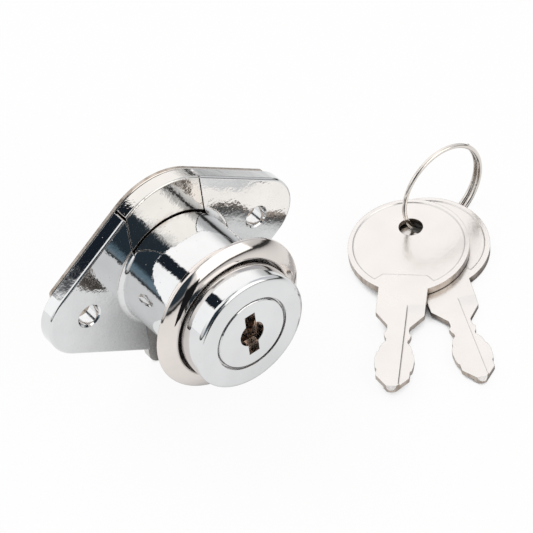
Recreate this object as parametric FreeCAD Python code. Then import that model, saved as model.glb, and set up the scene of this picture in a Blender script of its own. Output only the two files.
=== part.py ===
"""Drawer lock with a 22 mm barrel, a sliding bolt, a loose trim ring and two keys on a split ring.

Millimetres. The barrel's axis is Y, and the key goes in from -Y. The bolt is thrown towards +Z.
The origin is on the barrel's axis, in the plane of the flange's front face, midway between the screw holes.
The bolt is drawn down, as in the photograph, and the wafers stand flush with the plug.
"""
import FreeCAD, Part
import math
import os

Vector = FreeCAD.Vector

# Barrel
BARREL_RADIUS = 11.0
BARREL_LENGTH = 22.2
BARREL_EDGE_ROUND = 0.85
BASE_FILLET = 1.0

# Flange, a rhombus with round corners
FLANGE_THICKNESS = 3.0
APEX_RADIUS = 13.2
APEX_HEIGHT = 18.4
EAR_RADIUS = 7.4
EAR_HALF_SPAN = 25.85
FLANGE_EDGE_ROUND = 0.45
SEAM_CHAMFER = 0.15
CHANNEL_MOUTH_BEVEL = 0.35
SCREW_HALF_SPACING = 17.9
SCREW_HOLE_RADIUS = 2.0
SCREW_HOLE_CHAMFER = 0.3

# Back plate and its rivets
PLATE_THICKNESS = 0.7
PLATE_HALF_LENGTH = 22.6
PLATE_CORNER = 0.8
RIVET_RADIUS = 1.0
RIVET_HEAD_RADIUS = 1.8
RIVET_HEAD_HEIGHT = 0.6
RIVET_HEAD_ROUND = 0.4
RIVET_DEPTH = 2.0
RIVET_X = 12.6
RIVET_Z = 6.2

# Bolt
BOLT_WIDTH = 15.0
BOLT_WEB = 1.6
BOLT_TAIL = 21.0
BOLT_TAIL_CORNER = 2.5
BOLT_EDGE_ROUND = 0.35
BOLT_ARC_GAP = 0.3
BOLT_SIDE_GAP = 0.2
BOLT_FACE_GAP = 0.1

# Plug
PLUG_RADIUS = 6.75
PLUG_TAIL_RADIUS = 5.8
PLUG_EDGE_CHAMFER = 0.15
PLUG_RELIEF_WIDTH = 0.35
PLUG_RELIEF_DEPTH = 0.6
REAR_WALL = 2.4
RUNNING_GAP = 0.05
SHOULDER_GAP = 0.05
KEYWAY_WIDTH = 2.06
KEYWAY_HEIGHT = 8.8
KEYWAY_ROUND_RADIUS = 2.4
KEYWAY_END_WALL = 1.2

# Drive pin
THROW = 7.0
DRIVE_PIN_RADIUS = 1.3
DRIVE_PIN_SOCKET = 2.8
DRIVE_PIN_END_GAP = 0.2
DRIVE_PIN_GAP = 0.1
PRESS_GAP = 0.01

# Retaining clip
CLIP_THICKNESS = 0.7
CLIP_RADIUS = 7.1
CLIP_GROOVE_RADIUS = 5.0
CLIP_OPENING_DEGREES = 70.0
CLIP_SIDE_GAP = 0.03
CLIP_BACK_GAP = 0.25
CLIP_RECESS_GAP = 0.4

# Wafers and their springs
WAFER_COUNT = 6
WAFER_PITCH = 2.7
WAFER_FIRST_INSET = 2.2
WAFER_THICKNESS = 0.9
WAFER_WIDTH = 6.4
WAFER_WINDOW_WIDTH = 2.5
WAFER_WINDOW_HEIGHT = 7.2
WAFER_WINDOW_ROUND = 2.1
WAFER_WINDOW_SHIFT = 0.35
WAFER_TRAVEL = 0.7
WAFER_GAP = 0.05
GROOVE_SIDE_GAP = 0.15
GROOVE_END_GAP = 0.3
LUG_WIDTH = 1.3
LUG_HEIGHT = 1.0
LUG_BASE = 0.3
SPRING_LENGTH = 3.9
SPRING_TURNS = 5
SPRING_RADIUS = 0.5
SPRING_WIRE_RADIUS = 0.1
SPRING_POCKET_GAP = 0.06

# Trim ring
TRIM_OUTER_RADIUS = 14.65
TRIM_BORE_GAP = 0.3
TRIM_SHEET = 0.5
TRIM_CREST_Y = -17.2
TRIM_COLLAR_Y = -12.6
TRIM_LIP_DEGREES = 10.0
TRIM_FACE_ROUND = 4.9
TRIM_RIM_ROUND = 0.6

# Keys
KEY_THICKNESS = 1.4
KEY_TOP = -18.0
KEY_STACK_GAP = 0.1
BOW_LENGTH = 24.8
BOW_WIDTH = 22.6
BOW_TOP_TO_HOLE = 7.45
KEY_HOLE_RADIUS = 2.3
BOW_BORDER_SIDE = 1.0
BOW_BORDER_TOP = 0.9
BOW_BORDER_END = 1.6
BOW_RECESS = 0.2
BOW_RECESS_SLOPE = 0.2
BOW_FIELD_END = 12.75
BOW_FIELD_END_WIDTH = 8.2
NECK_WIDTH = 9.0
NECK_TAPER = 0.1
NECK_END = 22.75
SHOULDER_END = 25.75
BLADE_WIDTH = 7.0
BLADE_END = 41.0
BLADE_TIP_LENGTH = 0.8
BLADE_TIP_WIDTH = 1.9
BLADE_TIP_BEVEL = 0.5
# How far along the blade, as a share of its length, and how much narrower than the blade on each side
BLADE_CUTS = [
    (0.0, 1.45), (0.05, 1.55), (0.095, 1.45), (0.13, 1.05), (0.187, 1.25), (0.22, 1.58), (0.252, 1.58),
    (0.3, 1.0), (0.355, 0.62), (0.407, 0.58), (0.443, 0.2), (0.52, 0.0), (0.626, 0.08), (0.68, 0.25),
    (0.702, 0.55), (0.8, 0.55),
]
STEP_OFFSET = 1.13
STEP_DEPTH = 0.45
STEP_START = 23.2
STEP_TIP_GAP = 1.3
STEP_CUTTER_RADIUS = 8.0
KEY_1_HOLE_X = 48.15
KEY_1_HOLE_Y = -5.65
KEY_1_ANGLE = -135.7
KEY_2_HOLE_X = 50.93
KEY_2_HOLE_Y = -5.58
KEY_2_ANGLE = -116.0

# Split ring
RING_CENTRE_X = 56.2
RING_CENTRE_Y = -5.47
RING_CENTRE_Z = -13.45
RING_RADIUS = 9.15
RING_WIRE_RADIUS = 0.45
RING_COIL_GAP = 0.22
RING_START_DEGREES = 37.0
RING_TURNS = 1.33

# How far a cutting solid reaches past what it cuts
PAST = 1.0

# Levels and radii that follow
FRONT_Y = -BARREL_LENGTH
EAR_CENTRE = EAR_HALF_SPAN - EAR_RADIUS
APEX_CENTRE = APEX_HEIGHT - APEX_RADIUS
BOLT_BACK_Y = FLANGE_THICKNESS - BOLT_FACE_GAP
WEB_FRONT_Y = BOLT_BACK_Y - BOLT_WEB
BARREL_BACK_Y = WEB_FRONT_Y - BOLT_FACE_GAP
CHANNEL_HALF_WIDTH = BOLT_WIDTH / 2 + BOLT_SIDE_GAP
BORE_RADIUS = PLUG_RADIUS + RUNNING_GAP
TAIL_BORE_RADIUS = PLUG_TAIL_RADIUS + RUNNING_GAP
CLIP_POCKET_DEPTH = CLIP_THICKNESS + 2 * CLIP_SIDE_GAP + CLIP_BACK_GAP
CLIP_POCKET_Y = BARREL_BACK_Y - CLIP_POCKET_DEPTH
REAR_WALL_Y = CLIP_POCKET_Y - REAR_WALL
PLUG_SHOULDER_Y = REAR_WALL_Y - SHOULDER_GAP
CLIP_FRONT_Y = CLIP_POCKET_Y + CLIP_SIDE_GAP
ECCENTRICITY = THROW / 2
# The record's coupling turns the plug's angle into bolt travel at one steady rate, and this is how far
# the pin then runs ahead of the bolt or behind it.
LEAD_ANGLE = math.asin(2 / math.pi)
PIN_LEAD = ECCENTRICITY * abs(1 - math.cos(LEAD_ANGLE) - 2 * LEAD_ANGLE / math.pi)
PIN_SLOT_HALF_HEIGHT = DRIVE_PIN_RADIUS + PIN_LEAD + DRIVE_PIN_GAP
PIN_SLOT_HALF_WIDTH = ECCENTRICITY + DRIVE_PIN_RADIUS + 2 * DRIVE_PIN_GAP
WAFER_SLOT = WAFER_THICKNESS + 2 * WAFER_GAP
WAFER_FIRST_Y = FRONT_Y + WAFER_FIRST_INSET
WAFER_END_RADIUS = PLUG_RADIUS - WAFER_GAP
GROOVE_REACH = WAFER_END_RADIUS + WAFER_TRAVEL + GROOVE_END_GAP
KEY_2_TOP = KEY_TOP - KEY_THICKNESS - KEY_STACK_GAP


def cylinder(radius, start_y, end_y, x=0.0, z=0.0):
    """A cylinder along Y."""
    return Part.makeCylinder(radius, end_y - start_y, Vector(x, start_y, z), Vector(0, 1, 0))


def box(x_range, y_range, z_range):
    """A box between two limits on each axis."""
    size = [high - low for low, high in (x_range, y_range, z_range)]
    return Part.makeBox(size[0], size[1], size[2], Vector(x_range[0], y_range[0], z_range[0]))


def revolved(edges):
    """The solid that a closed outline in the XY plane sweeps round the Y axis."""
    face = Part.Face(Part.Wire(edges))
    return face.revolve(Vector(0, 0, 0), Vector(0, 1, 0), 360)


def line(start, end):
    return Part.LineSegment(start, end).toShape()


def arc(start, middle, end):
    return Part.Arc(start, middle, end).toShape()


def edges_at_y(shape, y):
    """The edges that lie wholly in the plane of this y."""
    found = []
    for edge in shape.Edges:
        box_of_edge = edge.BoundBox
        if abs(box_of_edge.YMin - y) < 1e-5 and abs(box_of_edge.YMax - y) < 1e-5:
            found.append(edge)
    return found


def outline_edges_at_y(shape, y):
    """Those of the edges in this plane that reach the top of the flange's outline."""
    return [edge for edge in edges_at_y(shape, y) if edge.BoundBox.ZMax > APEX_HEIGHT - 1e-3]


def flange_outline(y):
    """Four round corners joined by straight lines that touch them."""
    reach = math.hypot(EAR_CENTRE, APEX_CENTRE)
    tilt = math.asin((APEX_RADIUS - EAR_RADIUS) / reach) + math.atan2(APEX_CENTRE, EAR_CENTRE)
    side_x = math.sin(tilt)
    side_z = math.cos(tilt)

    def at(x, z):
        return Vector(x, y, z)

    top_right = at(APEX_RADIUS * side_x, APEX_CENTRE + APEX_RADIUS * side_z)
    right_top = at(EAR_CENTRE + EAR_RADIUS * side_x, EAR_RADIUS * side_z)
    right_low = at(right_top.x, -right_top.z)
    low_right = at(top_right.x, -top_right.z)
    low_left = at(-top_right.x, -top_right.z)
    left_low = at(-right_top.x, -right_top.z)
    left_top = at(-right_top.x, right_top.z)
    top_left = at(-top_right.x, top_right.z)
    return Part.Wire([
        arc(top_left, at(0, APEX_HEIGHT), top_right),
        line(top_right, right_top),
        arc(right_top, at(EAR_HALF_SPAN, 0), right_low),
        line(right_low, low_right),
        arc(low_right, at(0, -APEX_HEIGHT), low_left),
        line(low_left, left_low),
        arc(left_low, at(-EAR_HALF_SPAN, 0), left_top),
        line(left_top, top_left),
    ])


def flange_blank(start_y, end_y):
    return Part.Face(flange_outline(start_y)).extrude(Vector(0, end_y - start_y, 0))


def screw_holes(start_y, end_y):
    return [cylinder(SCREW_HOLE_RADIUS, start_y, end_y, side * SCREW_HALF_SPACING) for side in (-1, 1)]


def rivet_places():
    return [(side_x * RIVET_X, side_z * RIVET_Z) for side_x in (-1, 1) for side_z in (-1, 1)]


def channel_mouth_bevels():
    """What is cut off the corners where the bolt's channel meets the flange's outline."""
    corner_z = APEX_CENTRE + math.sqrt(APEX_RADIUS ** 2 - CHANNEL_HALF_WIDTH ** 2)
    outline_lean = math.degrees(math.asin(CHANNEL_HALF_WIDTH / APEX_RADIUS))
    lean = (outline_lean - 90) / 2
    reach = 4 * CHANNEL_MOUTH_BEVEL
    bevels = []
    for side in (-1, 1):
        bevel = box((-reach, reach), (-PAST, FLANGE_THICKNESS + PAST), (-CHANNEL_MOUTH_BEVEL, reach))
        bevel.rotate(Vector(0, 0, 0), Vector(0, 1, 0), side * lean)
        bevel.translate(Vector(side * CHANNEL_HALF_WIDTH, 0, corner_z))
        low_bevel = bevel.copy()
        low_bevel.rotate(Vector(0, 0, 0), Vector(0, 1, 0), 180)
        bevels += [bevel, low_bevel]
    return bevels


def make_housing():
    """Flange and barrel in one casting, with the bolt's channel and the plug's bore."""
    flange = flange_blank(0, FLANGE_THICKNESS)
    flange = flange.makeFillet(FLANGE_EDGE_ROUND, edges_at_y(flange, 0))
    flange = flange.makeChamfer(SEAM_CHAMFER, edges_at_y(flange, FLANGE_THICKNESS))

    barrel = cylinder(BARREL_RADIUS, FRONT_Y, BARREL_BACK_Y)
    barrel = barrel.makeFillet(BARREL_EDGE_ROUND, edges_at_y(barrel, FRONT_Y))
    fillet_centre = Vector(BARREL_RADIUS + BASE_FILLET, -BASE_FILLET, 0)
    corner = BASE_FILLET * (1 - math.sqrt(0.5))
    base = revolved([
        line(Vector(BARREL_RADIUS / 2, -BASE_FILLET, 0), Vector(BARREL_RADIUS, -BASE_FILLET, 0)),
        arc(
            Vector(BARREL_RADIUS, -BASE_FILLET, 0),
            Vector(BARREL_RADIUS + corner, -corner, 0),
            Vector(fillet_centre.x, 0, 0),
        ),
        line(Vector(fillet_centre.x, 0, 0), Vector(fillet_centre.x, BARREL_BACK_Y, 0)),
        line(Vector(fillet_centre.x, BARREL_BACK_Y, 0), Vector(BARREL_RADIUS / 2, BARREL_BACK_Y, 0)),
        line(Vector(BARREL_RADIUS / 2, BARREL_BACK_Y, 0), Vector(BARREL_RADIUS / 2, -BASE_FILLET, 0)),
    ])
    body = flange.fuse([barrel, base])

    channel = box(
        (-CHANNEL_HALF_WIDTH, CHANNEL_HALF_WIDTH),
        (-BASE_FILLET - PAST, FLANGE_THICKNESS + PAST),
        (-APEX_HEIGHT - PAST, APEX_HEIGHT + PAST),
    )
    channel = channel.cut(cylinder(BARREL_RADIUS, FRONT_Y, BARREL_BACK_Y))
    body = body.cut(channel)

    cuts = [
        cylinder(BORE_RADIUS, FRONT_Y - PAST, REAR_WALL_Y),
        cylinder(TAIL_BORE_RADIUS, REAR_WALL_Y - PAST, BARREL_BACK_Y),
        cylinder(CLIP_RADIUS + CLIP_RECESS_GAP, CLIP_POCKET_Y, BARREL_BACK_Y + PAST),
        cylinder(BORE_RADIUS + PLUG_RELIEF_WIDTH, FRONT_Y - PAST, FRONT_Y + PLUG_RELIEF_DEPTH),
    ]
    cuts += channel_mouth_bevels()
    groove_half = WAFER_WIDTH / 2 + GROOVE_SIDE_GAP
    groove_start = WAFER_FIRST_Y - GROOVE_END_GAP
    cuts.append(box((-groove_half, groove_half), (groove_start, REAR_WALL_Y), (-GROOVE_REACH, GROOVE_REACH)))
    cuts += screw_holes(-PAST, FLANGE_THICKNESS + PAST)
    for side in (-1, 1):
        cuts.append(Part.makeCone(
            SCREW_HOLE_RADIUS + SCREW_HOLE_CHAMFER, SCREW_HOLE_RADIUS, SCREW_HOLE_CHAMFER,
            Vector(side * SCREW_HALF_SPACING, 0, 0), Vector(0, 1, 0),
        ))
    for x, z in rivet_places():
        socket = RIVET_RADIUS + PRESS_GAP
        cuts.append(cylinder(socket, FLANGE_THICKNESS - RIVET_DEPTH, FLANGE_THICKNESS + PAST, x, z))
    return body.cut(cuts)


def make_back_plate():
    """Sheet behind the flange, with its long ends cut square short of the ears' tips."""
    back_y = FLANGE_THICKNESS + PLATE_THICKNESS
    plate = flange_blank(FLANGE_THICKNESS, back_y)
    length = box(
        (-PLATE_HALF_LENGTH, PLATE_HALF_LENGTH),
        (FLANGE_THICKNESS, back_y),
        (-APEX_HEIGHT - PAST, APEX_HEIGHT + PAST),
    )
    plate = plate.common(length)
    corners = []
    for edge in plate.Edges:
        bounds = edge.BoundBox
        if abs(abs(bounds.Center.x) - PLATE_HALF_LENGTH) < 1e-4 and bounds.YLength > PLATE_THICKNESS / 2:
            if bounds.ZLength < 1e-4:
                corners.append(edge)
    plate = plate.makeFillet(PLATE_CORNER, corners)
    plate = plate.makeChamfer(SEAM_CHAMFER, edges_at_y(plate, FLANGE_THICKNESS))
    holes = screw_holes(FLANGE_THICKNESS - PAST, back_y + PAST)
    for x, z in rivet_places():
        holes.append(cylinder(RIVET_RADIUS + PRESS_GAP, FLANGE_THICKNESS - PAST, back_y + PAST, x, z))
    return plate.cut(holes)


def make_back_plate_rivets():
    back_y = FLANGE_THICKNESS + PLATE_THICKNESS
    start_y = FLANGE_THICKNESS - RIVET_DEPTH + PRESS_GAP
    rivets = []
    for x, z in rivet_places():
        head = cylinder(RIVET_HEAD_RADIUS, back_y, back_y + RIVET_HEAD_HEIGHT, x, z)
        head = head.makeFillet(RIVET_HEAD_ROUND, edges_at_y(head, back_y + RIVET_HEAD_HEIGHT))
        rivets.append(head.fuse(cylinder(RIVET_RADIUS, start_y, back_y, x, z)))
    return Part.makeCompound(rivets)


def make_bolt():
    """Thick head above the barrel, thin web behind the barrel, and the slot that the drive pin works in."""
    half = BOLT_WIDTH / 2
    tail = box((-half, half), (0, BOLT_BACK_Y), (-BOLT_TAIL, 0))
    corners = []
    for edge in tail.Edges:
        bounds = edge.BoundBox
        if bounds.YLength > BOLT_BACK_Y / 2 and abs(bounds.Center.z + BOLT_TAIL) < 1e-4:
            corners.append(edge)
    tail = tail.makeFillet(BOLT_TAIL_CORNER, corners)
    upper = box((-half, half), (0, BOLT_BACK_Y), (0, APEX_HEIGHT + PAST))
    upper = upper.common(flange_blank(0, BOLT_BACK_Y))
    upper = upper.makeFillet(BOLT_EDGE_ROUND, outline_edges_at_y(upper, 0))
    upper = upper.makeChamfer(SEAM_CHAMFER, outline_edges_at_y(upper, BOLT_BACK_Y))
    bolt = upper.fuse(tail).removeSplitter()
    bolt = bolt.cut([
        box((-BOLT_WIDTH, BOLT_WIDTH), (-PAST, WEB_FRONT_Y), (-BOLT_TAIL - PAST, 0)),
        cylinder(BARREL_RADIUS + BOLT_ARC_GAP, -PAST, WEB_FRONT_Y),
        box(
            (-PIN_SLOT_HALF_WIDTH, PIN_SLOT_HALF_WIDTH),
            (-PAST, BOLT_BACK_Y + PAST),
            (-ECCENTRICITY - PIN_SLOT_HALF_HEIGHT, -ECCENTRICITY + PIN_SLOT_HALF_HEIGHT),
        ),
    ])
    return bolt


def wafer_start(index):
    return WAFER_FIRST_Y + index * WAFER_PITCH


def half_turned(shape, index):
    """Every second wafer and its spring work the other way up."""
    if index % 2:
        shape = shape.copy()
        shape.rotate(Vector(0, 0, 0), Vector(0, 1, 0), 180)
    return shape


def spring_x():
    return WAFER_WIDTH / 2 + LUG_WIDTH / 2


def make_plug():
    """Core of the lock, with its keyway, wafer slots, spring pockets, tail and clip groove."""
    body = cylinder(PLUG_RADIUS, FRONT_Y, PLUG_SHOULDER_Y)
    body = body.makeChamfer(PLUG_EDGE_CHAMFER, edges_at_y(body, FRONT_Y))
    plug = body.fuse(cylinder(PLUG_TAIL_RADIUS, PLUG_SHOULDER_Y, BARREL_BACK_Y))

    keyway_end = BARREL_BACK_Y - DRIVE_PIN_SOCKET - KEYWAY_END_WALL
    cuts = [
        box(
            (-KEYWAY_WIDTH / 2, KEYWAY_WIDTH / 2),
            (FRONT_Y - PAST, keyway_end),
            (-KEYWAY_HEIGHT / 2, KEYWAY_HEIGHT / 2),
        ),
        cylinder(KEYWAY_ROUND_RADIUS, FRONT_Y - PAST, keyway_end),
        cylinder(
            DRIVE_PIN_RADIUS + PRESS_GAP, BARREL_BACK_Y - DRIVE_PIN_SOCKET, BARREL_BACK_Y + PAST,
            0, -ECCENTRICITY,
        ),
    ]
    groove_end = CLIP_FRONT_Y + CLIP_THICKNESS + CLIP_SIDE_GAP
    groove = cylinder(PLUG_RADIUS, CLIP_FRONT_Y - CLIP_SIDE_GAP, groove_end)
    groove = groove.cut(cylinder(CLIP_GROOVE_RADIUS, FRONT_Y, BARREL_BACK_Y))
    cuts.append(groove)

    for index in range(WAFER_COUNT):
        start = wafer_start(index) - WAFER_GAP
        slot_half = WAFER_WIDTH / 2 + WAFER_GAP
        slot = box((-slot_half, slot_half), (start, start + WAFER_SLOT), (-PLUG_RADIUS, PLUG_RADIUS))
        pocket = box(
            (0, WAFER_WIDTH / 2 + LUG_WIDTH + WAFER_GAP),
            (start, start + WAFER_SLOT),
            (LUG_BASE - WAFER_GAP, PLUG_RADIUS),
        )
        spring_hole = Part.makeCylinder(
            SPRING_RADIUS + SPRING_WIRE_RADIUS + SPRING_POCKET_GAP,
            SPRING_LENGTH,
            Vector(spring_x(), start + WAFER_SLOT / 2, LUG_BASE - SPRING_LENGTH),
            Vector(0, 0, 1),
        )
        cuts.append(half_turned(slot.fuse([pocket, spring_hole]), index))
    return plug.cut(cuts)


def make_wafer(index):
    """Plate with a window for the key, round ends flush with the plug, and a lug for its spring."""
    start = wafer_start(index)
    end = start + WAFER_THICKNESS
    half = WAFER_WIDTH / 2
    plate = box((-half, half), (start, end), (-PLUG_RADIUS, PLUG_RADIUS))
    plate = plate.common(cylinder(WAFER_END_RADIUS, start, end))
    lug = box((0, half + LUG_WIDTH), (start, end), (LUG_BASE, LUG_BASE + LUG_HEIGHT))
    plate = plate.fuse(lug).removeSplitter()
    window_low = WAFER_WINDOW_SHIFT - WAFER_WINDOW_HEIGHT / 2
    window = box(
        (-WAFER_WINDOW_WIDTH / 2, WAFER_WINDOW_WIDTH / 2),
        (start - PAST, end + PAST),
        (window_low, window_low + WAFER_WINDOW_HEIGHT),
    )
    window = window.fuse(cylinder(WAFER_WINDOW_ROUND, start - PAST, end + PAST))
    return half_turned(plate.cut(window), index)


def arc_middle(start, tangent, length, end):
    """The middle point of the arc that leaves start along tangent and reaches end."""
    control = start + tangent * length
    chord_middle = (start + end) * 0.5
    half_chord = (end - start).Length / 2
    angle = math.acos(min(1.0, half_chord / length))
    towards = control - chord_middle
    if towards.Length < 1e-9:
        return chord_middle
    return chord_middle + towards.normalize() * (half_chord * math.tan(angle / 2))


def biarc(start, start_tangent, end, end_tangent):
    """Two arcs that join two points with the given tangents and meet smoothly."""
    across = end - start
    tangents = start_tangent + end_tangent
    spread = 2 * start_tangent.dot(end_tangent) - 2
    along = across.dot(tangents)
    length = (along - math.sqrt(along * along - spread * across.dot(across))) / spread
    meeting = (start + start_tangent * length + end - end_tangent * length) * 0.5
    first = arc(start, arc_middle(start, start_tangent, length, meeting), meeting)
    second = arc(meeting, arc_middle(end, end_tangent * -1, length, meeting), end)
    return [first, second]


def coil(name, point, tangent, quarter_turns, turns, wire_radius):
    """One unbroken tube along a helix, given its point and tangent at any part of a turn."""
    edges = []
    for step in range(quarter_turns):
        begin = turns * step / quarter_turns
        finish = turns * (step + 1) / quarter_turns
        edges += biarc(point(begin), tangent(begin), point(finish), tangent(finish))
    path = Part.Wire(edges)
    profile = Part.Wire(Part.Circle(point(0), tangent(0), wire_radius).toShape())
    shell = Part.BRepOffsetAPI.MakePipeShell(path)
    shell.add(profile)
    shell.build()
    shell.makeSolid()
    tube = shell.shape()
    samples_per_turn = 72
    samples = [point(step / samples_per_turn) for step in range(int(turns * samples_per_turn) + 1)]
    least = None
    for first, here in enumerate(samples):
        for there in samples[first + samples_per_turn // 2:]:
            gap = (here - there).Length - 2 * wire_radius
            if least is None or gap < least:
                least = gap
    share = tube.Volume / (path.Length * math.pi * wire_radius ** 2)
    print(name, "least gap to itself", round(least, 3), "volume share", round(share, 4))
    return tube


def make_wafer_spring(index):
    """Small coil under the wafer's lug."""
    middle_y = wafer_start(index) + WAFER_THICKNESS / 2
    low = LUG_BASE - SPRING_LENGTH + SPRING_WIRE_RADIUS + PRESS_GAP
    rise = (SPRING_LENGTH - 2 * SPRING_WIRE_RADIUS - 2 * PRESS_GAP) / SPRING_TURNS
    around = 2 * math.pi * SPRING_RADIUS

    def point(turn):
        angle = 2 * math.pi * turn
        return Vector(
            spring_x() + SPRING_RADIUS * math.cos(angle),
            middle_y + SPRING_RADIUS * math.sin(angle),
            low + rise * turn,
        )

    def tangent(turn):
        angle = 2 * math.pi * turn
        return Vector(-around * math.sin(angle), around * math.cos(angle), rise).normalize()

    name = "wafer_spring_%d" % (index + 1)
    tube = coil(name, point, tangent, 4 * SPRING_TURNS, SPRING_TURNS, SPRING_WIRE_RADIUS)
    return half_turned(tube, index)


def make_drive_pin():
    """Eccentric pin pressed into the plug's tail, at the bottom when the bolt is drawn down."""
    start = BARREL_BACK_Y - DRIVE_PIN_SOCKET + PRESS_GAP
    pin = cylinder(DRIVE_PIN_RADIUS, start, FLANGE_THICKNESS - DRIVE_PIN_END_GAP, 0, -ECCENTRICITY)
    return pin.makeChamfer(DRIVE_PIN_END_GAP, edges_at_y(pin, FLANGE_THICKNESS - DRIVE_PIN_END_GAP))


def make_retaining_clip():
    """Open ring in the groove of the plug's tail, behind the barrel's rear wall."""
    end = CLIP_FRONT_Y + CLIP_THICKNESS
    ring = cylinder(CLIP_RADIUS, CLIP_FRONT_Y, end)
    ring = ring.cut(cylinder(CLIP_GROOVE_RADIUS + PRESS_GAP, CLIP_FRONT_Y - PAST, end + PAST))
    reach = 2 * CLIP_RADIUS
    half_angle = math.radians(CLIP_OPENING_DEGREES / 2)
    wedge = Part.makePolygon([
        Vector(0, CLIP_FRONT_Y - PAST, 0),
        Vector(reach * math.sin(half_angle), CLIP_FRONT_Y - PAST, reach * math.cos(half_angle)),
        Vector(-reach * math.sin(half_angle), CLIP_FRONT_Y - PAST, reach * math.cos(half_angle)),
        Vector(0, CLIP_FRONT_Y - PAST, 0),
    ])
    wedge = Part.Face(wedge).extrude(Vector(0, CLIP_THICKNESS + 2 * PAST, 0))
    return ring.cut(wedge)


def make_trim_ring():
    """Dished sheet ring, with a rolled lip and collar round the barrel, a domed face and a rim rolled back.

    The outer side is three arcs that meet smoothly. Each is drawn by the angle of its outward direction,
    from straight in at the bore, past straight forward at the crest, to straight out at the rim.
    """
    bore = BARREL_RADIUS + TRIM_BORE_GAP
    lip_angle = math.radians(TRIM_LIP_DEGREES)

    def along(centre, radius, angle):
        return centre + Vector(radius * math.sin(angle), -radius * math.cos(angle), 0)

    def rounded(centre, radius, first, last):
        return arc(
            along(centre, radius, first),
            along(centre, radius, (first + last) / 2),
            along(centre, radius, last),
        )

    lip = Vector(bore + TRIM_SHEET, TRIM_CREST_Y + TRIM_SHEET, 0)
    face = along(lip, TRIM_SHEET - TRIM_FACE_ROUND, lip_angle)
    rim_reach = TRIM_OUTER_RADIUS - TRIM_RIM_ROUND - face.x
    rim_angle = math.asin(rim_reach / (TRIM_FACE_ROUND - TRIM_RIM_ROUND))
    rim = along(face, TRIM_FACE_ROUND - TRIM_RIM_ROUND, rim_angle)
    edge = along(rim, TRIM_RIM_ROUND, math.pi / 2)
    inner_edge = along(rim, TRIM_RIM_ROUND - TRIM_SHEET, math.pi / 2)
    inner_face = TRIM_FACE_ROUND - TRIM_SHEET
    inner_collar = Vector(lip.x, TRIM_COLLAR_Y, 0)
    collar = Vector(bore, TRIM_COLLAR_Y, 0)
    return revolved([
        line(collar, Vector(bore, lip.y, 0)),
        rounded(lip, TRIM_SHEET, -math.pi / 2, lip_angle),
        rounded(face, TRIM_FACE_ROUND, lip_angle, rim_angle),
        rounded(rim, TRIM_RIM_ROUND, rim_angle, math.pi / 2),
        line(edge, inner_edge),
        rounded(rim, TRIM_RIM_ROUND - TRIM_SHEET, math.pi / 2, rim_angle),
        rounded(face, inner_face, rim_angle, lip_angle),
        line(lip, inner_collar),
        line(inner_collar, collar),
    ])


def bow_centre():
    return BOW_LENGTH / 2 - BOW_TOP_TO_HOLE


def oval_edge(centre, half_length, half_width, start_angle, end_angle):
    """An arc of an ellipse whose length runs along X, whichever of its two axes is the longer."""
    if half_length > half_width:
        whole = Part.Ellipse(Vector(centre, 0, 0), half_length, half_width)
        offset = 0.0
    else:
        long_end = Vector(centre, half_width, 0)
        short_end = Vector(centre - half_length, 0, 0)
        whole = Part.Ellipse(long_end, short_end, Vector(centre, 0, 0))
        offset = -math.pi / 2
    return Part.ArcOfEllipse(whole, start_angle + offset, end_angle + offset).toShape()


def key_outline():
    """Oval bow, straight neck, sloping shoulders and a blade with the same cuts on both edges."""
    neck_half = NECK_WIDTH / 2
    join_angle = math.asin(neck_half / (BOW_WIDTH / 2))
    join_x = bow_centre() + BOW_LENGTH / 2 * math.cos(join_angle)
    bow_edge = oval_edge(bow_centre(), BOW_LENGTH / 2, BOW_WIDTH / 2, join_angle, 2 * math.pi - join_angle)
    tip_start = BLADE_END - BLADE_TIP_LENGTH
    tip_half = BLADE_TIP_WIDTH / 2

    def side_edges(side):
        corners = [
            Vector(join_x, side * neck_half, 0),
            Vector(NECK_END, side * (neck_half - NECK_TAPER), 0),
        ]
        for share, depth in BLADE_CUTS:
            along = SHOULDER_END + share * (BLADE_END - SHOULDER_END)
            corners.append(Vector(along, side * (BLADE_WIDTH / 2 - depth), 0))
        corners.append(Vector(tip_start, side * tip_half, 0))
        return [line(corners[i], corners[i + 1]) for i in range(len(corners) - 1)]

    tip = arc(Vector(tip_start, -tip_half, 0), Vector(BLADE_END, 0, 0), Vector(tip_start, tip_half, 0))
    return Part.Wire(Part.__sortEdges__([bow_edge] + side_edges(1) + side_edges(-1) + [tip]))


def field_outline(growth, height):
    """The sunk field inside the bow's raised border, with a raised tongue where the neck runs into it."""
    top = -BOW_TOP_TO_HOLE + BOW_BORDER_TOP - growth
    end = BOW_LENGTH - BOW_TOP_TO_HOLE - BOW_BORDER_END + growth
    half_width = BOW_WIDTH / 2 - BOW_BORDER_SIDE + growth
    oval = oval_edge((top + end) / 2, (end - top) / 2, half_width, 0, 2 * math.pi)
    near_x = BOW_FIELD_END + growth
    near = BOW_FIELD_END_WIDTH / 2 - growth * math.tan(math.pi / 8)
    far = BOW_WIDTH / 2
    far_x = near_x + far - near
    tongue = Part.Face(Part.makePolygon([
        Vector(near_x, -near, 0),
        Vector(near_x, near, 0),
        Vector(far_x, far, 0),
        Vector(far_x, -far, 0),
        Vector(near_x, -near, 0),
    ]))
    outline = Part.Face(Part.Wire(oval)).cut(tongue).Faces[0].OuterWire
    outline.translate(Vector(0, 0, height))
    return outline


def bow_field(side):
    """The sunk field with sloping sides, in the upper face for side 1 and the lower for side -1."""
    middle = KEY_THICKNESS / 2
    floor = field_outline(0, middle + side * (middle - BOW_RECESS))
    rim = field_outline(BOW_RECESS_SLOPE, middle + side * middle)
    return Part.makeLoft([floor, rim], True, True)


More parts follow.
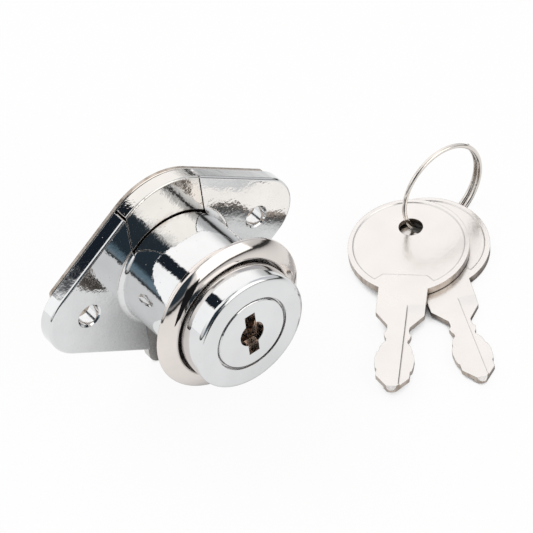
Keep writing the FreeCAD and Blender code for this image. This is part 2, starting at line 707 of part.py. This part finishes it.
def tip_bevel(side):
    """The wedge cut off the blade's tip, above for side 1 and below for side -1."""
    half = KEY_THICKNESS / 2
    tip_start = BLADE_END - BLADE_TIP_LENGTH
    slope = BLADE_TIP_BEVEL / BLADE_TIP_LENGTH
    reach = BLADE_WIDTH

    def at(along, height):
        return Vector(along, -reach, half + side * height)

    wedge = Part.Face(Part.makePolygon([
        at(tip_start, half),
        at(BLADE_END + PAST, half - slope * (BLADE_TIP_LENGTH + PAST)),
        at(BLADE_END + PAST, half + PAST),
        at(tip_start, half + PAST),
        at(tip_start, half),
    ]))
    return wedge.extrude(Vector(0, 2 * reach, 0))


def blade_step(side):
    """The milled step along one edge of the blade, above for side 1 and below for side -1."""
    far = BOW_WIDTH
    floor = KEY_THICKNESS / 2 + side * (KEY_THICKNESS / 2 - STEP_DEPTH)
    open_end = KEY_THICKNESS / 2 + side * (KEY_THICKNESS / 2 + PAST)
    start_y = min(side * STEP_OFFSET, side * far)
    milled = box(
        (STEP_START, BLADE_END - STEP_TIP_GAP),
        (start_y, start_y + far - STEP_OFFSET),
        (min(floor, open_end), max(floor, open_end)),
    )
    run_out_centre = Vector(STEP_START, start_y, floor + side * STEP_CUTTER_RADIUS)
    run_out = Part.makeCylinder(STEP_CUTTER_RADIUS, far - STEP_OFFSET, run_out_centre, Vector(0, 1, 0))
    return milled.fuse(run_out)


def make_key(hole_x, hole_y, angle, top):
    """A key drawn along +X from its hole, then turned and laid in its place."""
    key = Part.Face(key_outline()).extrude(Vector(0, 0, KEY_THICKNESS))
    key = key.cut([
        bow_field(1),
        bow_field(-1),
        Part.makeCylinder(KEY_HOLE_RADIUS, KEY_THICKNESS + 2 * PAST, Vector(0, 0, -PAST), Vector(0, 0, 1)),
        blade_step(1),
        blade_step(-1),
        tip_bevel(1),
        tip_bevel(-1),
    ])
    key.rotate(Vector(0, 0, 0), Vector(0, 0, 1), angle)
    key.translate(Vector(hole_x, hole_y, top - KEY_THICKNESS))
    return key


def make_split_ring():
    """Wound wire that stands upright through both bows and laps over itself for a third of a turn."""
    pitch = 2 * RING_WIRE_RADIUS + RING_COIL_GAP
    start = math.radians(RING_START_DEGREES)
    start_y = RING_CENTRE_Y + pitch * RING_TURNS / 2
    around = 2 * math.pi * RING_RADIUS

    def point(turn):
        angle = start - 2 * math.pi * turn
        return Vector(
            RING_CENTRE_X + RING_RADIUS * math.cos(angle),
            start_y - pitch * turn,
            RING_CENTRE_Z + RING_RADIUS * math.sin(angle),
        )

    def tangent(turn):
        angle = start - 2 * math.pi * turn
        return Vector(around * math.sin(angle), -pitch, -around * math.cos(angle)).normalize()

    steps = math.ceil(4 * RING_TURNS)
    return coil("split_ring", point, tangent, steps, RING_TURNS, RING_WIRE_RADIUS)


def main():
    os.makedirs("parts", exist_ok=True)
    pieces = {
        "housing": make_housing(),
        "back_plate": make_back_plate(),
        "back_plate_rivets": make_back_plate_rivets(),
        "bolt": make_bolt(),
        "plug": make_plug(),
        "drive_pin": make_drive_pin(),
        "retaining_clip": make_retaining_clip(),
        "trim_ring": make_trim_ring(),
        "key_1": make_key(KEY_1_HOLE_X, KEY_1_HOLE_Y, KEY_1_ANGLE, KEY_TOP),
        "key_2": make_key(KEY_2_HOLE_X, KEY_2_HOLE_Y, KEY_2_ANGLE, KEY_2_TOP),
        "split_ring": make_split_ring(),
    }
    for index in range(WAFER_COUNT):
        pieces["wafer_%d" % (index + 1)] = make_wafer(index)
        pieces["wafer_spring_%d" % (index + 1)] = make_wafer_spring(index)
    for name, shape in pieces.items():
        shape.exportStep("parts/%s.step" % name)
        print(name, "solids", len(shape.Solids), "volume", round(shape.Volume, 2), "valid", shape.isValid())


main()
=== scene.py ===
"""Looks of a drawer lock with its trim ring and two keys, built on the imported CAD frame.

Metres, in the frame's own axes: the barrel's axis is Y, the key goes in from -Y, and the bolt is thrown
towards +Z.
"""
import math

import bpy
from mathutils import Matrix, Vector

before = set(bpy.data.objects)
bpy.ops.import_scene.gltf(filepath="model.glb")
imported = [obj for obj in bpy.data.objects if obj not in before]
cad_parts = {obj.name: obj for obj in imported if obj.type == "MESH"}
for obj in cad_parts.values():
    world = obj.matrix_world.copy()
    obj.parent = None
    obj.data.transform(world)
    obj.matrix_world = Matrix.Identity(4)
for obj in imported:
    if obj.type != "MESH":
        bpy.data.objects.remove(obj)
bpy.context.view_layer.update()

MM = 0.001
WHITE = (1.0, 1.0, 1.0)

# Camera, fitted to the photograph
CAMERA_PLACE = Vector((-117.6, -212.8, 232.3)) * MM
CAMERA_FORWARD = Vector((0.3872, 0.6044, -0.6963))
CAMERA_DOWN = Vector((-0.4805, -0.5123, -0.7119))
CAMERA_LENS = 130.86
CAMERA_NEAR = 10 * MM
SENSOR_WIDTH = 36.0

# Floor: plain and pale. The metal mirrors it as a glow with a painted pool of light round a place behind the
# lock, fading far from there, and a painted shadow where something lies close above it on the side that the
# light comes from. To the camera it is nearly white, except down a narrow hole or gap between the pieces.
FLOOR_HEIGHT = -21.2 * MM
FLOOR_SIZE = 3.0
FLOOR_COLOUR = (0.92, 0.92, 0.92)
WHITE_TO_CAMERA = 0.93
FLOOR_HOLE_REACH = 6 * MM
FLOOR_HOLE_OPENNESS = (0.2, 0.42)
FLOOR_LIGHT_PLACE = Vector((-300, 250, 0)) * MM
FLOOR_LIGHT_REACH = (400 * MM, 830 * MM)
FLOOR_LIGHT_NEAR_AND_FAR = (1.0, 0.05)
FLOOR_SHADE_REACH = 25 * MM
FLOOR_SHADE_LEAN = Vector((-0.6, -0.1, 0.8))
FLOOR_SHADE_OPENNESS = (0.5, 0.92)
FLOOR_SHADE = 0.08

# Studio walls: their light at these heights above the horizon, as sines of the angle
WALL_LIGHT = ((0.0, 0.03), (0.025, 0.12), (0.08, 0.65), (0.2, 0.75), (0.5, 1.2))
WALL_SHARE_AS_LIGHT = 0.45

# What the metal mirrors: azimuth from +X and elevation of the middle, width and height as seen from the lock,
# all in degrees, the share of its half-width over which its edge fades, and the colour of its light.
# Each card stands a little behind the one before it, except for those that stand near.
CARD_DISTANCE = 0.6
CARD_SPACING = 2 * MM
CARDS = {
    "dark_back_left": (123.2, 46, 14.2, 34, 0.3, (0.013, 0.018, 0.026)),
    "blue_front_left": (-144, 8, 24, 20, 0.9, (0.20, 0.30, 0.37)),
    "dark_front_left": (-128, 30, 56, 58, 0.28, (0.030, 0.045, 0.060)),
    "grey_top": (-105, 75, 30, 26, 0.4, (0.40, 0.40, 0.40)),
    "grey_right": (-10, 35, 40, 60, 0.5, (0.66, 0.68, 0.72)),
    "white_back": (78, 40, 90, 60, 0.5, (1.28, 1.26, 1.25)),
    "white_left": (141, 14, 20, 36, 0.3, (1.2, 1.2, 1.2)),
    "white_front": (-68, 26, 54, 56, 0.2, (1.65, 1.63, 1.6)),
    "dark_front_low": (-100, -2, 17, 40, 0.2, (0.012, 0.012, 0.014)),
}
NEAR_CARDS = {"dark_front_low": 70 * MM}

# Lamps: azimuth, elevation, width and height as for the cards, colour, and radiance
LAMP_DISTANCE = 0.75
LAMPS = {
    "softbox_back": (88, 48, 38, 50, (1.0, 0.99, 0.98), 1.8),
    "softbox_left": (138, 15, 16, 30, (1.0, 1.0, 1.0), 1.4),
    "softbox_front": (-68, 28, 50, 44, (1.0, 0.99, 0.98), 1.8),
}

# Each finish: colour, roughness, and how steep its waviness, its fine grain and its pits are.
# A sheared finish has darker, rougher faces where the object's own normal lies across this axis.
# Mould is the share of the grain on the side faces of the flange or of the bolt.
# Crevice shade openness is how open to light a crevice is where its painted shade is black and where it has
# none.
# Shade is how much painted shade darkens a deep hole, and stains is how strong the stains along inner corners
# are.
FINISHES = {
    "chrome_casting": dict(colour=(0.745, 0.75, 0.755), roughness=0.025, wave=0.008, grain=0.022, pits=0.6,
                           mould=0.35, crevice_shade_openness=(0.35, 0.75), shade=0.0, stains=0.5),
    "nickel_bolt": dict(colour=(0.73, 0.71, 0.68), roughness=0.03, wave=0.012, grain=0.025, pits=0.6,
                        mould=2.5, stains=0.5),
    "nickel_sheet": dict(colour=(0.77, 0.72, 0.685), roughness=0.03, wave=0.006, grain=0.006, pits=0.1,
                         shade=0.3),
    "nickel_key": dict(colour=(0.745, 0.72, 0.70), roughness=0.23, wave=0.014, grain=0.030, pits=0.2,
                       sheared="Z", crevice_shade_openness=(0.4, 0.9)),
    "nickel_plate": dict(colour=(0.72, 0.67, 0.62), roughness=0.15, wave=0.010, grain=0.040, pits=0.3,
                         sheared="Y"),
    "nickel_wire": dict(colour=(0.80, 0.75, 0.70), roughness=0.02, wave=0.0, grain=0.010, pits=0.1,
                        shade=0.2),
    "brass": dict(colour=(0.70, 0.49, 0.37), roughness=0.25, wave=0.0, grain=0.060, pits=0.3,
                  crevice_shade_openness=(0.1, 0.4), shade=0.0),
    "steel": dict(colour=(0.50, 0.50, 0.51), roughness=0.25, wave=0.0, grain=0.060, pits=0.3),
}

# The CAD nodes that show each finish. A name whose nodes are numbered stands for all of them.
NODE_FINISHES = {
    "housing": "chrome_casting",
    "plug": "chrome_casting",
    "bolt": "nickel_bolt",
    "back_plate": "nickel_plate",
    "back_plate_rivets": "nickel_sheet",
    "trim_ring": "nickel_sheet",
    "key": "nickel_key",
    "split_ring": "nickel_wire",
    "wafer": "brass",
    "wafer_spring": "steel",
    "drive_pin": "steel",
    "retaining_clip": "steel",
}

# The polish: in a cloudy pattern, its colour is a little worn and its roughness varies by these factors
CLOUD_LENGTH = 6.0 * MM
CLOUD_DETAIL = 4.0
CLOUD_COLOUR_RANGE = (0.35, 0.65)
CLOUD_ROUGHNESS_RANGE = (0.3, 0.7)
WORN_COLOUR_SHARE = 0.95
LEAST_AND_MOST_ROUGH = (0.75, 1.3)

# Bumps, whose steepness each finish gives, and the easing of every edge
WAVE_LENGTH = 3.0 * MM
WAVE_DETAIL = 1.0
GRAIN_LENGTH = 0.6 * MM
GRAIN_DETAIL = 2.0
PIT_SPACING = 1.2 * MM
PIT_SIZE = 0.06
EDGE_ROUND = 0.14 * MM
EDGE_SAMPLES = 4
OPENNESS_SAMPLES = 8

# From where to where a face turns from lying across an axis to looking along it
FACING_RANGE = (0.3, 0.6)

# Sides left by shearing, with streaks drawn out along the cut
SHEARED_COLOUR = (0.52, 0.46, 0.41)
SHEARED_STREAK_COLOUR = (0.36, 0.30, 0.25)
SHEARED_ROUGHNESS = 0.3
STREAK_LENGTH = 1.5 * MM
STREAK_STRETCH = 0.3
STREAK_DETAIL = 3.0
STREAK_RANGE = (0.38, 0.56)

# Wear on outer edges: patches, found by how far the eased normal turns
WEAR_COLOUR = (0.11, 0.08, 0.055)
WEAR_TURN = (0.80, 0.985)
WEAR_LENGTH = 0.8 * MM
WEAR_DETAIL = 2.0
WEAR_RANGE = (0.4, 0.6)
WEAR_SHARE = (0.35, 0.95)
WEAR_ON_FLAT = 0.25

# Stains along inner corners, painted shade in crevices, and deep holes, which are rougher and darkened by
# painted shade
STAIN_COLOUR = (0.28, 0.19, 0.13)
STAIN_REACH = 2.0 * MM
STAIN_OPENNESS = (0.5, 0.85)
STAIN_LENGTH = 1.4 * MM
STAIN_DETAIL = 4.0
STAIN_RANGE = (0.45, 0.6)
CREVICE_SHADE_COLOUR = (0.06, 0.047, 0.038)
CREVICE_REACH = 0.35 * MM
DEPTH_SHADE_COLOUR = (0.10, 0.075, 0.055)
DEPTH_REACH = 6.0 * MM
DEPTH_OPENNESS = (0.2, 0.5)
DEPTH_ROUGHNESS = 0.3

# The castings: the barrel's nose is polished smoother than the flange, and side faces differ from the front
NOSE_Y = -14.0 * MM
NOSE_GRAIN = 0.25
FLANGE_Y = -0.05 * MM
FLANGE_BLEND = 0.1 * MM


def put(tree, value, socket):
    """Gives a socket its value: another node's output, a number, a vector or an opaque colour."""
    if isinstance(value, bpy.types.NodeSocket):
        tree.links.new(value, socket)
    elif socket.type == "RGBA":
        socket.default_value = (*value, 1)
    else:
        socket.default_value = value


def node(tree, kind, **inputs):
    """A shader node with these inputs."""
    made = tree.nodes.new(kind)
    for name, value in inputs.items():
        put(tree, value, made.inputs[name])
    return made


def level(tree, value, low, high, to_low=0.0, to_high=1.0, smooth=False):
    """A value stretched from one range to another and held inside it."""
    ends = {"From Min": low, "From Max": high, "To Min": to_low, "To Max": to_high}
    stretched = node(tree, "ShaderNodeMapRange", Value=value, **ends)
    if smooth:
        stretched.interpolation_type = "SMOOTHSTEP"
    return stretched.outputs["Result"]


def calculated(tree, operation, *values):
    """The result of an operation on numbers or outputs."""
    made = tree.nodes.new("ShaderNodeMath")
    made.operation = operation
    for value, socket in zip(values, made.inputs):
        put(tree, value, socket)
    return made.outputs[0]


def product(tree, first, second):
    """Two numbers or outputs multiplied."""
    return calculated(tree, "MULTIPLY", first, second)


def vector_node(tree, operation, first, second):
    """A node that does this operation on two vectors."""
    made = tree.nodes.new("ShaderNodeVectorMath")
    made.operation = operation
    put(tree, first, made.inputs[0])
    put(tree, second, made.inputs[1])
    return made


def part_of(tree, vector, axis):
    """One part of a vector."""
    return node(tree, "ShaderNodeSeparateXYZ", Vector=vector).outputs[axis]


def mixed(tree, factor, first, second):
    """A colour between two, each a colour or an output."""
    mix = tree.nodes.new("ShaderNodeMix")
    mix.data_type = "RGBA"
    put(tree, factor, mix.inputs["Factor"])
    sockets = [socket for socket in mix.inputs if socket.type == "RGBA"]
    for colour, socket in zip((first, second), sockets):
        put(tree, colour, socket)
    return [output for output in mix.outputs if output.type == "RGBA"][0]


def mixed_shader(tree, share, first, second):
    """A shader between two, where a share of 1 is all of the second."""
    mix = tree.nodes.new("ShaderNodeMixShader")
    for value, socket in zip((share, first.outputs[0], second.outputs[0]), mix.inputs):
        put(tree, value, socket)
    return mix


def noise(tree, place, length, detail):
    """Noise whose lumps are about this long, in metres."""
    return node(tree, "ShaderNodeTexNoise", Vector=place, Scale=1.0 / length, Detail=detail).outputs["Fac"]


def bumped(tree, height, distance, normal):
    """The normal bent by a height, in units of distance."""
    bump = node(tree, "ShaderNodeBump", Strength=1.0, Distance=distance, Height=height, Normal=normal)
    return bump.outputs["Normal"]


def openness(tree, reach, lean=None):
    """How open a surface is to light within this reach: 1 on a flat face, and 0.5 in a square corner.

    The light comes along the face's own normal, or from where a lean points.
    """
    open_sky = node(tree, "ShaderNodeAmbientOcclusion", Distance=reach)
    open_sky.samples = OPENNESS_SAMPLES
    if lean is not None:
        put(tree, lean, open_sky.inputs["Normal"])
    return open_sky.outputs["AO"]


def facing(tree, coordinates, axis):
    """How squarely a face of the object looks along this axis, from 0 to 1."""
    return calculated(tree, "ABSOLUTE", part_of(tree, coordinates.outputs["Normal"], axis))


def empty_tree(owner):
    """The node tree of a material or a world, with nothing in it."""
    owner.use_nodes = True
    owner.node_tree.nodes.clear()
    return owner.node_tree


def show(tree, shader, kind="ShaderNodeOutputMaterial"):
    """Makes a shader what the tree shows."""
    put(tree, shader.outputs[0], tree.nodes.new(kind).inputs[0])


def add_object(name, data):
    """A new object in the scene."""
    made = bpy.data.objects.new(name, data)
    bpy.context.scene.collection.objects.link(made)
    return made


def add_rectangle(name, half_width, half_length, height=0.0):
    """A flat rectangle at this height, with a material of its own whose node tree is empty."""
    corners = [(x * half_width, y * half_length, height) for x, y in ((-1, -1), (1, -1), (1, 1), (-1, 1))]
    mesh = bpy.data.meshes.new(name)
    mesh.from_pydata(corners, [], [(0, 1, 2, 3)])
    material = bpy.data.materials.new(name)
    mesh.materials.append(material)
    return add_object(name, mesh), empty_tree(material)


def facing_lock(azimuth, elevation, distance):
    """A placement that faces the lock from a distance, with its width level."""
    around, up = math.radians(azimuth), math.radians(elevation)
    away = Vector((math.cos(up) * math.cos(around), math.cos(up) * math.sin(around), math.sin(up)))
    side = Vector((-math.sin(around), math.cos(around), 0))
    turn = Matrix((side, away.cross(side), away)).transposed().to_4x4()
    return Matrix.Translation(away * distance) @ turn


def span(degrees, distance):
    """The length that covers this angle, seen from a distance."""
    return 2 * distance * math.tan(math.radians(degrees) / 2)


def add_camera():
    """A camera at the photograph's place and angle."""
    camera = add_object("camera", bpy.data.cameras.new("camera"))
    forward = CAMERA_FORWARD.normalized()
    right = CAMERA_DOWN.cross(forward).normalized()
    up = right.cross(forward)
    turn = Matrix((right, up, -forward)).transposed().to_4x4()
    camera.matrix_world = Matrix.Translation(CAMERA_PLACE) @ turn
    camera.data.lens = CAMERA_LENS
    camera.data.sensor_width = SENSOR_WIDTH
    camera.data.clip_start = CAMERA_NEAR
    bpy.context.scene.camera = camera


def add_world():
    """White to the camera. To the metal and as light, walls that darken towards the horizon."""
    world = bpy.data.worlds.new("studio")
    bpy.context.scene.world = world
    tree = empty_tree(world)
    direction = tree.nodes.new("ShaderNodeTexCoord").outputs["Generated"]
    walls = node(tree, "ShaderNodeValToRGB", Fac=part_of(tree, direction, "Z"))
    stops = walls.color_ramp.elements
    # A new ramp has two stops already
    for height, _ in WALL_LIGHT[2:]:
        stops.new(height)
    brightest = max(light for _, light in WALL_LIGHT)
    for stop, (height, light) in zip(stops, WALL_LIGHT):
        stop.position = height
        share = light / brightest
        stop.color = (share, share, share, 1)
    path = tree.nodes.new("ShaderNodeLightPath")
    strength = level(tree, path.outputs["Is Diffuse Ray"], 0, 1, brightest, brightest * WALL_SHARE_AS_LIGHT)
    seen = node(tree, "ShaderNodeBackground", Color=walls.outputs["Color"], Strength=strength)
    white = node(tree, "ShaderNodeBackground", Color=WHITE, Strength=1.0)
    show(tree, mixed_shader(tree, path.outputs["Is Camera Ray"], seen, white), "ShaderNodeOutputWorld")


def add_floor():
    """A plain pale floor that reads as white and keeps a soft shadow."""
    floor, tree = add_rectangle("floor", FLOOR_SIZE / 2, FLOOR_SIZE / 2, FLOOR_HEIGHT)
    path = tree.nodes.new("ShaderNodeLightPath")
    place = tree.nodes.new("ShaderNodeTexCoord").outputs["Object"]

    # Painted light for the metal: a glow made of a painted pool of light round a place behind the lock,
    # dimmed by a painted shadow where something lies close above on the light's side
    middle = FLOOR_LIGHT_PLACE + Vector((0, 0, FLOOR_HEIGHT))
    away = vector_node(tree, "DISTANCE", place, middle).outputs["Value"]
    painted_pool_of_light = level(tree, away, *FLOOR_LIGHT_REACH, *FLOOR_LIGHT_NEAR_AND_FAR, smooth=True)
    lean = node(tree, "ShaderNodeCombineXYZ", **dict(zip("XYZ", FLOOR_SHADE_LEAN)))
    uncovered = openness(tree, FLOOR_SHADE_REACH, lean.outputs["Vector"])
    shade = level(tree, uncovered, *FLOOR_SHADE_OPENNESS, FLOOR_SHADE, 1.0)
    painted_floor_glow = node(tree, "ShaderNodeEmission", Color=WHITE, Strength=product(tree, painted_pool_of_light, shade))

    matt = node(tree, "ShaderNodeBsdfDiffuse", Color=FLOOR_COLOUR)
    white = node(tree, "ShaderNodeEmission", Color=WHITE, Strength=1.0)
    clear = level(tree, openness(tree, FLOOR_HOLE_REACH), *FLOOR_HOLE_OPENNESS, 0.0, WHITE_TO_CAMERA)
    to_camera = mixed_shader(tree, product(tree, path.outputs["Is Camera Ray"], clear), matt, white)
    show(tree, mixed_shader(tree, path.outputs["Is Glossy Ray"], to_camera, painted_floor_glow))


def add_cards():
    """Dark and bright cards with soft edges round the lock, which only the metal mirrors."""
    for number, (name, (azimuth, elevation, width, height, fade, colour)) in enumerate(CARDS.items()):
        distance = NEAR_CARDS.get(name, CARD_DISTANCE + number * CARD_SPACING)
        half_sizes = [span(degrees, distance) / 2 for degrees in (width, height)]
        card, tree = add_rectangle(name, *half_sizes)
        card.matrix_world = facing_lock(azimuth, elevation, distance)
        place = tree.nodes.new("ShaderNodeTexCoord").outputs["Object"]
        inside = []
        for axis, half in zip("XY", half_sizes):
            from_middle = calculated(tree, "ABSOLUTE", part_of(tree, place, axis))
            inside.append(level(tree, from_middle, half * (1 - fade), half, 1.0, 0.0, smooth=True))
        clear = tree.nodes.new("ShaderNodeBsdfTransparent")
        glow = node(tree, "ShaderNodeEmission", Color=colour, Strength=1.0)
        show(tree, mixed_shader(tree, product(tree, *inside), clear, glow))
        card.visible_camera = False
        card.visible_diffuse = False
        card.visible_shadow = False


def add_lamps():
    """Large soft lamps, which the metal doesn't mirror: the cards stand for them there."""
    for name, (azimuth, elevation, width, height, colour, radiance) in LAMPS.items():
        lamp = bpy.data.lights.new(name, "AREA")
        lamp.shape = "RECTANGLE"
        lamp.size = span(width, LAMP_DISTANCE)
        lamp.size_y = span(height, LAMP_DISTANCE)
        lamp.color = colour
        lamp.energy = radiance * math.pi * lamp.size * lamp.size_y
        box = add_object(name, lamp)
        box.matrix_world = facing_lock(azimuth, elevation, LAMP_DISTANCE)
        box.visible_glossy = False


def polish(tree, place, colour, roughness):
    """The colour and the roughness of a plated face, both a little uneven."""
    cloud = noise(tree, place, CLOUD_LENGTH, CLOUD_DETAIL)
    worn = tuple(WORN_COLOUR_SHARE * part for part in colour)
    base = mixed(tree, level(tree, cloud, *CLOUD_COLOUR_RANGE), worn, colour)
    least, most = LEAST_AND_MOST_ROUGH
    return base, level(tree, cloud, *CLOUD_ROUGHNESS_RANGE, least * roughness, most * roughness)


def sheared_side(tree, place, axis):
    """The colour of a side left by shearing along this axis."""
    stretch = [STREAK_STRETCH if letter == axis else 1.0 for letter in "XYZ"]
    drawn = vector_node(tree, "MULTIPLY", place, stretch).outputs["Vector"]
    streaks = noise(tree, drawn, STREAK_LENGTH, STREAK_DETAIL)
    return mixed(tree, level(tree, streaks, *STREAK_RANGE), SHEARED_STREAK_COLOUR, SHEARED_COLOUR)


def edge_wear(tree, place, eased):
    """How worn the surface is: nothing on a face, and patches where the eased normal turns at an edge."""
    own = tree.nodes.new("ShaderNodeNewGeometry").outputs["Normal"]
    turn = vector_node(tree, "DOT_PRODUCT", eased, own).outputs["Value"]
    patches = level(tree, noise(tree, place, WEAR_LENGTH, WEAR_DETAIL), *WEAR_RANGE, *WEAR_SHARE)
    return product(tree, level(tree, turn, *WEAR_TURN, 1.0, 0.0), patches)


def stained_share(tree, place, shallow, stains):
    """How stained the surface is: spots along inner corners, but none in deep holes."""
    corner = level(tree, openness(tree, STAIN_REACH), *STAIN_OPENNESS, 1.0, 0.0)
    spots = level(tree, noise(tree, place, STAIN_LENGTH, STAIN_DETAIL), *STAIN_RANGE, 0.0, stains)
    return product(tree, product(tree, corner, spots), shallow)


def cast_grain(tree, coordinates, mould):
    """The share of the grain on a casting: little on the nose, and this share on the flange's side faces."""
    y = part_of(tree, coordinates.outputs["Object"], "Y")
    smoothed = level(tree, y, NOSE_Y, FLANGE_Y, NOSE_GRAIN, 1.0)
    on_flange = level(tree, y, FLANGE_Y - FLANGE_BLEND, FLANGE_Y)
    on_side = level(tree, facing(tree, coordinates, "Y"), *FACING_RANGE, 1.0, 0.0)
    return product(tree, smoothed, level(tree, product(tree, on_flange, on_side), 0, 1, 1.0, mould))


def surface_normal(tree, coordinates, eased, wave, grain, pits, mould):
    """The normal of a plated metal: wavy, grained and pitted."""
    place = coordinates.outputs["Object"]
    normal = eased
    if wave:
        waves = noise(tree, place, WAVE_LENGTH, WAVE_DETAIL)
        normal = bumped(tree, waves, wave * WAVE_LENGTH, normal)
    grains = noise(tree, place, GRAIN_LENGTH, GRAIN_DETAIL)
    if mould is not None:
        grains = product(tree, grains, cast_grain(tree, coordinates, mould))
    normal = bumped(tree, grains, grain * GRAIN_LENGTH, normal)
    spots = node(tree, "ShaderNodeTexVoronoi", Vector=place, Scale=1.0 / PIT_SPACING)
    hollows = level(tree, spots.outputs["Distance"], 0.0, PIT_SIZE)
    return bumped(tree, hollows, pits * PIT_SIZE * PIT_SPACING, normal)


def metal(name, colour, roughness, wave, grain, pits, sheared=None, mould=None,
          crevice_shade_openness=(0.3, 0.7), shade=1.0, stains=0.0):
    """A plated metal: an uneven, wavy and pitted polish, eased and worn edges, and painted shade in its
    crevices and deep holes.
    """
    material = bpy.data.materials.new(name)
    material.use_nodes = True
    tree = material.node_tree
    coordinates = tree.nodes.new("ShaderNodeTexCoord")
    place = coordinates.outputs["Object"]
    bevel = node(tree, "ShaderNodeBevel", Radius=EDGE_ROUND)
    bevel.samples = EDGE_SAMPLES
    eased = bevel.outputs["Normal"]

    base, rough = polish(tree, place, colour, roughness)
    wear = edge_wear(tree, place, eased)
    if sheared:
        flat = level(tree, facing(tree, coordinates, sheared), *FACING_RANGE)
        base = mixed(tree, flat, sheared_side(tree, place, sheared), base)
        rough = level(tree, flat, 0, 1, SHEARED_ROUGHNESS, rough)
        wear = product(tree, wear, level(tree, flat, 0, 1, 1.0, WEAR_ON_FLAT))
    base = mixed(tree, wear, base, WEAR_COLOUR)

    shallow = level(tree, openness(tree, DEPTH_REACH), *DEPTH_OPENNESS)
    if stains:
        base = mixed(tree, stained_share(tree, place, shallow, stains), base, STAIN_COLOUR)
    # Painted shade: a crevice turns nearly black where little light reaches into it
    base = mixed(tree, level(tree, openness(tree, CREVICE_REACH), *crevice_shade_openness), CREVICE_SHADE_COLOUR, base)
    # Painted shade: a deep hole darkens towards a dark brown, by as much as the finish's shade
    if shade:
        base = mixed(tree, level(tree, shallow, 0, 1, 1 - shade, 1.0), DEPTH_SHADE_COLOUR, base)
    rough = level(tree, shallow, 0, 1, DEPTH_ROUGHNESS, rough)

    shader = tree.nodes["Principled BSDF"]
    shader.inputs["Metallic"].default_value = 1.0
    put(tree, base, shader.inputs["Base Color"])
    put(tree, rough, shader.inputs["Roughness"])
    normal = surface_normal(tree, coordinates, eased, wave, grain, pits, mould)
    put(tree, normal, shader.inputs["Normal"])
    return material


def dress_nodes():
    """Gives each CAD node its finish."""
    finish = {name: metal(name, **settings) for name, settings in FINISHES.items()}
    for node_name, node_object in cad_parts.items():
        kind = node_name.rstrip("_0123456789")
        materials = node_object.data.materials
        materials.clear()
        materials.append(finish[NODE_FINISHES[kind]])


add_camera()
add_world()
add_floor()
add_cards()
add_lamps()
bpy.context.scene.view_settings.view_transform = "Standard"
dress_nodes()
